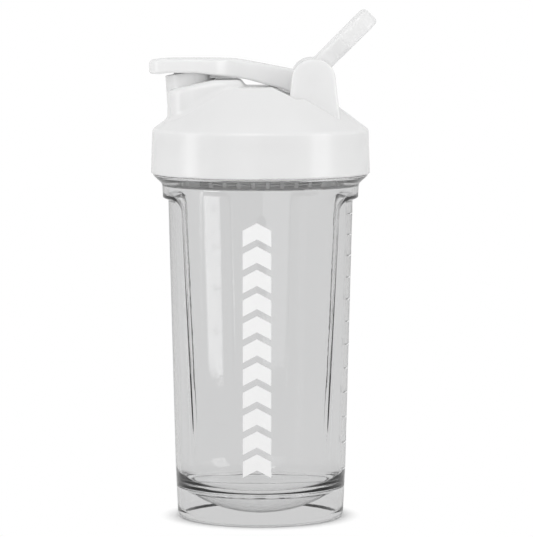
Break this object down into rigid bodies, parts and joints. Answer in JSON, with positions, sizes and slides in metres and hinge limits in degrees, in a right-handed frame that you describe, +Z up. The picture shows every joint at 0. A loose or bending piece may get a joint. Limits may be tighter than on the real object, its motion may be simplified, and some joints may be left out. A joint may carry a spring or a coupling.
{
  "type": "protein shaker bottle",
  "caption": "Clear shaker bottle with side grips, screw lid, slanted drinking spout under a hinged flip cap, carry loop, and a mixing grid inside the lid.",
  "frame": {"origin": "centre of the foot's lowest ring, on the plane that the bottle stands on", "axes": "+Z up along the bottle, -X towards the drinking spout, +X towards the hinge and its carry loop"},
  "size_m": [0.1013, 0.0984, 0.2287],
  "materials": {
    "clear_copolyester": "gloss",
    "white_polypropylene": "satin",
    "white_silicone": "matte",
    "stainless_steel": "satin"
  },
  "bodies": {
    "bottle": {"bottle_body": "clear_copolyester"},
    "gasket": {"lid_gasket": "white_silicone"},
    "lid": {"screw_lid": "white_polypropylene", "hinge_pin": "stainless_steel"},
    "cap": {"flip_cap": "white_polypropylene", "spout_plug": "white_silicone"},
    "loop": {"carry_loop": "white_polypropylene"},
    "grid": {"mixing_grid": "white_polypropylene"}
  },
  "joints": [
    {"name": "lid_rise", "type": "slide", "parent": "bottle", "child": "gasket", "axis": [0, 0, 1], "range_m": [0, 0.0145]},
    {"name": "lid_turn", "type": "hinge", "parent": "gasket", "child": "lid", "pos_m": [0, 0, 0.165], "axis": [0, 0, 1], "range_deg": [0, 648]},
    {"name": "cap_flip", "type": "hinge", "parent": "lid", "child": "cap", "pos_m": [0.0236, 0, 0.1972], "axis": [0, 1, 0], "range_deg": [0, 95]},
    {"name": "loop_swing", "type": "hinge", "parent": "lid", "child": "loop", "pos_m": [0.0236, 0, 0.1972], "axis": [0, 1, 0], "range_deg": [-8, 80]},
    {"name": "grid_pull", "type": "slide", "parent": "lid", "child": "grid", "axis": [0, 0, -1], "range_m": [0, 0.022]}
  ],
  "couplings": [
    {"joint": "lid_rise", "follows": "lid_turn", "m_per_rad": 0.0012732}
  ]
}
